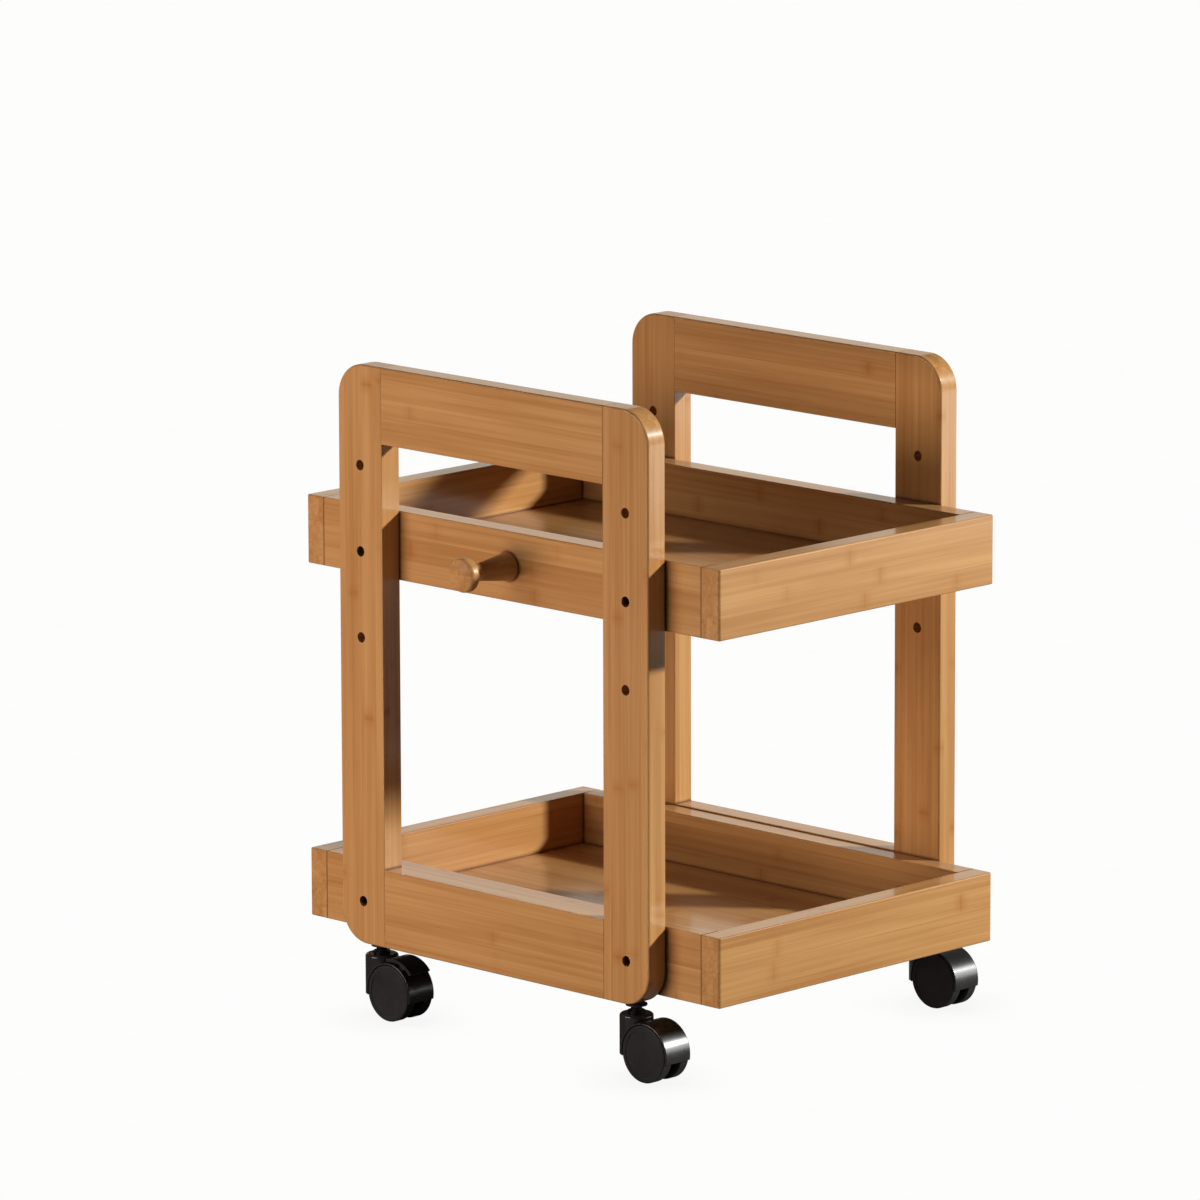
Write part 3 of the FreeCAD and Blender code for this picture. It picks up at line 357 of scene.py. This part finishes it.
# The seam lies where the side boards end.
traySeam = {"at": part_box("upper_tray_left_side")[1][1], "halfWidth": 0.00045, "strength": 0.75,
            "relief": -2.0}
boards = {  # along, across and deep are the board's own directions
    "bamboo_posts": {"along": "Z", "across": "Y", "deep": "X"},
    "bamboo_rails": {"along": "Y", "across": "Z", "deep": "X", "stripWidth": 0.0138},
    "bamboo_sides": {"along": "Y", "across": "Z", "deep": "X", "stripWidth": 0.0163,
                     "seam": traySeam},
    "bamboo_ends": {"along": "X", "across": "Z", "deep": "Y", "stripWidth": 0.0163,
                    "knuckleGap": 0.093, "seam": traySeam},
    "bamboo_floors": {"along": "Y", "across": "X", "deep": "Z", "stripWidth": 0.0195},
    "turned_bamboo": {"along": "X", "across": "Y", "deep": "Z", "knuckleStrength": 0.2,
                      "sockets": {"Coat Weight": 0.25, "Coat Roughness": 0.3, "Coat IOR": 1.45,
                                  "Specular IOR Level": 0.25}},
    "dowel_wood": {"along": "X", "across": "Y", "deep": "Z", "knuckleStrength": 0.0,
                   "lightStrip": (0.66, 0.5, 0.3, 1), "darkStrip": (0.55, 0.37, 0.19, 1)},
}


def makeBamboo(slot, board):
    look = {**bambooLook, **board}
    made, tree = newMaterial(slot)
    coordinates = putNode(tree, "TexCoord").outputs
    place = putNode(tree, "SeparateXYZ", {"Vector": coordinates["Object"]}).outputs
    facing = putNode(tree, "SeparateXYZ", {"Vector": coordinates["Normal"]}).outputs
    endFacing = remap(tree, maths(tree, "ABSOLUTE", facing[look["along"]]), *look["cutFacing"],
                      soft=True)
    grain = useGroup(tree, bambooGrain, {
        "Along": place[look["along"]], "Across": place[look["across"]], "Deep": place[look["deep"]],
        "End Facing": endFacing, "Strip Width": look["stripWidth"],
        "Ply Thickness": look["plyThickness"], "Knuckle Gap": look["knuckleGap"],
        "Light Strip": look["lightStrip"], "Dark Strip": look["darkStrip"],
        "Knuckle": look["knuckle"], "Strip Contrast": look["stripContrast"],
        "Fibre Contrast": look["fibreContrast"], "Knuckle Strength": look["knuckleStrength"],
    })
    wear = useGroup(tree, edgeWear, {"Width": look["wearWidth"]})["Mask"]
    wear = maths(tree, "MULTIPLY", wear, look["wearAmount"])
    # Painted shade, with some grime, in joints, holes and corners: darker the more closed in a spot is.
    # The seam's real dark line below takes the same colour.
    joint = useGroup(tree, paintedShadeAndGrime, {
        "Reach": look["jointReach"], "Strength": look["jointStrength"]})["Mask"]
    colour = mixColours(tree, wear, grain["Colour"], look["worn"])
    height = grain["Height"]
    if "seam" in look:
        line = look["seam"]
        seam = useGroup(tree, seamLine, {
            "Run": place["Y"], "Run Facing": facing["Y"], "Seam At": line["at"],
            "Half Width": line["halfWidth"]})["Mask"]
        seam = maths(tree, "MULTIPLY", seam, line["strength"])
        joint = maths(tree, "MAXIMUM", joint, seam)
        height = maths(tree, "MULTIPLY_ADD", seam, line["relief"], height)
    colour = mixColours(tree, joint, colour, look["shadeAndSeamColour"])
    roughness = maths(tree, "MULTIPLY_ADD", wear, look["wearPolish"], grain["Roughness"])
    roughness = maths(tree, "MULTIPLY_ADD", joint, look["jointDull"], roughness)
    finishSurface(tree, colour, roughness, height, look)
    return made


plastics = {
    "caster_hood": {
        "plastic": (0.014, 0.014, 0.014, 1), "dust": (0.10, 0.098, 0.092, 1), "dustAmount": 0.04,
        "pebbleScale": 1500.0, "roughness": 0.27, "swing": 0.1, "worn": (0.10, 0.095, 0.09, 1),
        "wearWidth": 0.0008, "wearAmount": 0.35, "bumpStrength": 0.2, "bumpDistance": 0.00005,
        "sockets": {"Coat Weight": 0.5, "Coat Roughness": 0.22, "Specular IOR Level": 0.7},
    },
    "brake_pedal": {
        "plastic": (0.014, 0.014, 0.014, 1), "dust": (0.10, 0.098, 0.092, 1), "dustAmount": 0.07,
        "pebbleScale": 1100.0, "roughness": 0.36, "swing": 0.12, "worn": (0.12, 0.115, 0.11, 1),
        "wearWidth": 0.0008, "wearAmount": 0.45, "bumpStrength": 0.3, "bumpDistance": 0.00008,
        "sockets": {"Specular IOR Level": 0.5},
    },
    "caster_wheel": {
        "plastic": (0.016, 0.016, 0.016, 1), "dust": (0.10, 0.10, 0.095, 1), "dustAmount": 0.08,
        "pebbleScale": 1900.0, "roughness": 0.5, "swing": 0.16, "worn": (0.09, 0.085, 0.08, 1),
        "wearWidth": 0.0007, "wearAmount": 0.4, "bumpStrength": 0.3, "bumpDistance": 0.00006,
        "sockets": {"Specular IOR Level": 0.45},
    },
    "socket_plastic": {
        "plastic": (0.013, 0.013, 0.013, 1), "dust": (0.08, 0.08, 0.078, 1), "dustAmount": 0.08,
        "pebbleScale": 1700.0, "roughness": 0.55, "swing": 0.1, "worn": (0.08, 0.08, 0.08, 1),
        "wearWidth": 0.0006, "wearAmount": 0.3, "bumpStrength": 0.3, "bumpDistance": 0.00006,
        "sockets": {"Specular IOR Level": 0.4},
    },
}


plasticWear = {"patchScale": 180.0, "dull": 0.15}


def makePlastic(slot, look):
    made, tree = newMaterial(slot)
    skin = useGroup(tree, mouldedSkin, {
        "Plastic": look["plastic"], "Dust": look["dust"], "Dust Amount": look["dustAmount"],
        "Pebble Scale": look["pebbleScale"], "Plain Roughness": look["roughness"],
        "Roughness Swing": look["swing"],
    })
    wear = useGroup(tree, edgeWear, {
        "Width": look["wearWidth"], "Patch Scale": plasticWear["patchScale"]})["Mask"]
    wear = maths(tree, "MULTIPLY", wear, look["wearAmount"])
    colour = mixColours(tree, wear, skin["Colour"], look["worn"])
    roughness = maths(tree, "MULTIPLY_ADD", wear, plasticWear["dull"], skin["Roughness"])
    finishSurface(tree, colour, roughness, skin["Height"], look)
    return made


metals = {
    "bright_steel": {
        "metal": (0.62, 0.61, 0.60, 1), "tarnish": (0.34, 0.31, 0.27, 1), "tarnishAmount": 0.3,
        "markScale": 2600.0, "roughness": 0.2, "bumpStrength": 0.25, "bumpDistance": 0.00004,
        "sockets": {"Metallic": 1.0},
    },
    "zinc_steel": {
        "metal": (0.50, 0.49, 0.47, 1), "tarnish": (0.22, 0.20, 0.17, 1), "tarnishAmount": 0.4,
        "markScale": 1800.0, "roughness": 0.33, "bumpStrength": 0.3, "bumpDistance": 0.00005,
        "sockets": {"Metallic": 1.0},
    },
    "bronzed_steel": {
        "metal": (0.13, 0.075, 0.04, 1), "tarnish": (0.06, 0.035, 0.02, 1), "tarnishAmount": 0.5,
        "markScale": 1800.0, "roughness": 0.33, "bumpStrength": 0.3, "bumpDistance": 0.00005,
        "sockets": {"Metallic": 1.0},
    },
    "black_steel": {
        "metal": (0.035, 0.034, 0.033, 1), "tarnish": (0.08, 0.075, 0.07, 1), "tarnishAmount": 0.3,
        "markScale": 2200.0, "roughness": 0.34, "bumpStrength": 0.25, "bumpDistance": 0.00004,
        "sockets": {"Metallic": 1.0},
    },
}


metalJoint = {"Reach": 0.0015, "Strength": 0.5}


def makeMetal(slot, look):
    made, tree = newMaterial(slot)
    marks = useGroup(tree, latheMarks, {
        "Metal": look["metal"], "Tarnish": look["tarnish"], "Mark Scale": look["markScale"],
        "Plain Roughness": look["roughness"], "Tarnish Amount": look["tarnishAmount"],
    })
    joint = useGroup(tree, paintedShadeAndGrime, metalJoint)["Mask"]
    colour = mixColours(tree, joint, marks["Colour"], look["tarnish"])
    finishSurface(tree, colour, marks["Roughness"], marks["Height"], look)
    return made


finishes = {slot: makeBamboo(slot, board) for slot, board in boards.items()}
finishes.update({slot: makePlastic(slot, look) for slot, look in plastics.items()})
finishes.update({slot: makeMetal(slot, look) for slot, look in metals.items()})

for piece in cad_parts.values():
    for holder in piece.material_slots:
        slot = holder.material.name.split(".")[0]
        holder.material = finishes[slot]
print("materials on:", sorted(finishes))


# The floor is a large pale disc. The camera sees it glowing evenly pale, with a painted soft shadow
# where something stands close; to every other ray it is a dull grey that throws a little light back.
floorLook = {"radius": 14.0, "sides": 96, "pale": (0.985, 0.985, 0.98, 1),
             "shade": (0.92, 0.918, 0.915, 1), "shadeReach": 0.05, "bounce": (0.22, 0.21, 0.21, 1),
             "mottleScale": 40.0, "mottle": (0.992, 1.0)}


def makeFloor():
    mesh = bpy.data.meshes.new("studioFloor")
    shape = bmesh.new()
    bmesh.ops.create_circle(shape, cap_ends=True, segments=floorLook["sides"],
                            radius=floorLook["radius"])
    shape.to_mesh(mesh)
    shape.free()
    floor = bpy.data.objects.new("studioFloor", mesh)
    bpy.context.scene.collection.objects.link(floor)
    made, tree = newMaterial("studioFloor")
    place = putNode(tree, "TexCoord").outputs["Object"]
    # Painted contact shadow: greyer where something stands within a few centimetres.
    paintedShadow = useGroup(tree, paintedShadeAndGrime, {"Reach": floorLook["shadeReach"], "Strength": 1.0})["Mask"]
    colour = mixColours(tree, paintedShadow, floorLook["pale"], floorLook["shade"])
    mottle = remap(tree, noise(tree, place, floorLook["mottleScale"], 3.0), 0.3, 0.7,
                   *floorLook["mottle"])
    colour = mixColours(tree, 1.0, colour, mottle, "MULTIPLY")
    seen = putNode(tree, "Emission", {"Color": colour, "Strength": 1.0})
    bounce = putNode(tree, "BsdfDiffuse", {"Color": floorLook["bounce"]})
    both = putNode(tree, "MixShader", {0: putNode(tree, "LightPath").outputs["Is Camera Ray"]})
    plug(tree, both.inputs[1], bounce.outputs[0])
    plug(tree, both.inputs[2], seen.outputs[0])
    putNode(tree, "OutputMaterial", {"Surface": both.outputs[0]})
    mesh.materials.append(made)
    return floor


makeFloor()
print("floor made")


# Lights: one hard-ish key in front on the right, panels on the left, a bright wall behind.
# The card only shows in the lacquer's gloss, and the low panel never does.
lights = {
    "keyLight": {"azimuth": 39.0, "elevation": 22.0, "distance": 5.0, "width": 0.4, "height": 0.4,
                 "watts": 330.0, "colour": (1.0, 1.0, 0.97), "shape": "DISK"},
    "lowPanel": {"azimuth": -108.0, "elevation": -4.5, "distance": 1.5, "width": 1.0, "height": 0.24,
                 "watts": 11.8, "colour": (1.0, 0.81, 0.72), "noGloss": True},
    "highPanel": {"azimuth": -108.0, "elevation": 19.0, "distance": 2.5, "width": 1.5, "height": 0.8,
                  "watts": 17.0, "colour": (1.0, 0.98, 1.0)},
    "backWall": {"azimuth": 140.0, "elevation": 12.0, "distance": 3.6, "width": 4.0, "height": 1.6,
                 "watts": 20.0, "colour": (1.0, 0.89, 0.76)},
    "frontCard": {"azimuth": 41.5, "elevation": -0.2, "distance": 1.5, "width": 1.3, "height": 0.25,
                  "watts": 3.4, "colour": (1.0, 1.0, 1.0), "onlyGloss": True},
}
cartMiddle = Vector((0, 0, 0.24))


def direction(azimuth, elevation):
    across, up = math.radians(azimuth), math.radians(elevation)
    return Vector((math.sin(across) * math.cos(up), -math.cos(across) * math.cos(up), math.sin(up)))


for name, light in lights.items():
    data = bpy.data.lights.new(name, "AREA")
    data.shape = light.get("shape", "RECTANGLE")
    data.size, data.size_y = light["width"], light["height"]
    data.energy, data.color = light["watts"], light["colour"]
    lamp = bpy.data.objects.new(name, data)
    way = direction(light["azimuth"], light["elevation"])
    lamp.location = cartMiddle + way * light["distance"]
    lamp.rotation_mode = "QUATERNION"
    lamp.rotation_quaternion = way.to_track_quat("Z", "Y")
    lamp.visible_camera = False
    lamp.visible_diffuse = not light.get("onlyGloss", False)
    lamp.visible_glossy = not light.get("noGloss", False)
    bpy.context.scene.collection.objects.link(lamp)

# The room: nearly white to look at, a dim warm grey as light.
roomLook = {"seen": (0.985, 0.985, 0.98, 1), "light": (1.0, 0.93, 0.86, 1), "strength": 0.02}
room = bpy.data.worlds.new("studioRoom")
room.use_nodes = True
room.node_tree.nodes.clear()
roomTree = room.node_tree
dimRoom = putNode(roomTree, "Background", {"Color": roomLook["light"], "Strength": roomLook["strength"]})
whiteRoom = putNode(roomTree, "Background", {"Color": roomLook["seen"], "Strength": 1.0})
roomMix = putNode(roomTree, "MixShader", {0: putNode(roomTree, "LightPath").outputs["Is Camera Ray"]})
plug(roomTree, roomMix.inputs[1], dimRoom.outputs[0])
plug(roomTree, roomMix.inputs[2], whiteRoom.outputs[0])
putNode(roomTree, "OutputWorld", {"Surface": roomMix.outputs[0]})
bpy.context.scene.world = room
bpy.context.scene.view_settings.view_transform = "Standard"
print("lights made")


cameraLook = {"azimuth": -45.5, "elevation": 11.39, "roll": -0.172, "distance": 6.214,
              "aimAcross": -0.0337, "aimHeight": 0.292, "lens": 267.1, "sensor": 36.0}


def makeCamera():
    data = bpy.data.cameras.new("studioCamera")
    data.lens, data.sensor_width = cameraLook["lens"], cameraLook["sensor"]
    data.clip_start, data.clip_end = 0.1, 100.0
    camera = bpy.data.objects.new("studioCamera", data)
    back = direction(cameraLook["azimuth"], cameraLook["elevation"])
    right = direction(cameraLook["azimuth"] + 90.0, 0.0)
    up = back.cross(right)
    roll = math.radians(cameraLook["roll"])
    side = right * math.cos(roll) + up * math.sin(roll)
    top = up * math.cos(roll) - right * math.sin(roll)
    aim = right * cameraLook["aimAcross"] + Vector((0, 0, cameraLook["aimHeight"]))
    camera.matrix_world = Matrix.Translation(aim + back * cameraLook["distance"]) @ Matrix(
        (side, top, back)).transposed().to_4x4()
    bpy.context.scene.collection.objects.link(camera)
    return camera


bpy.context.scene.camera = makeCamera()
print("camera made")
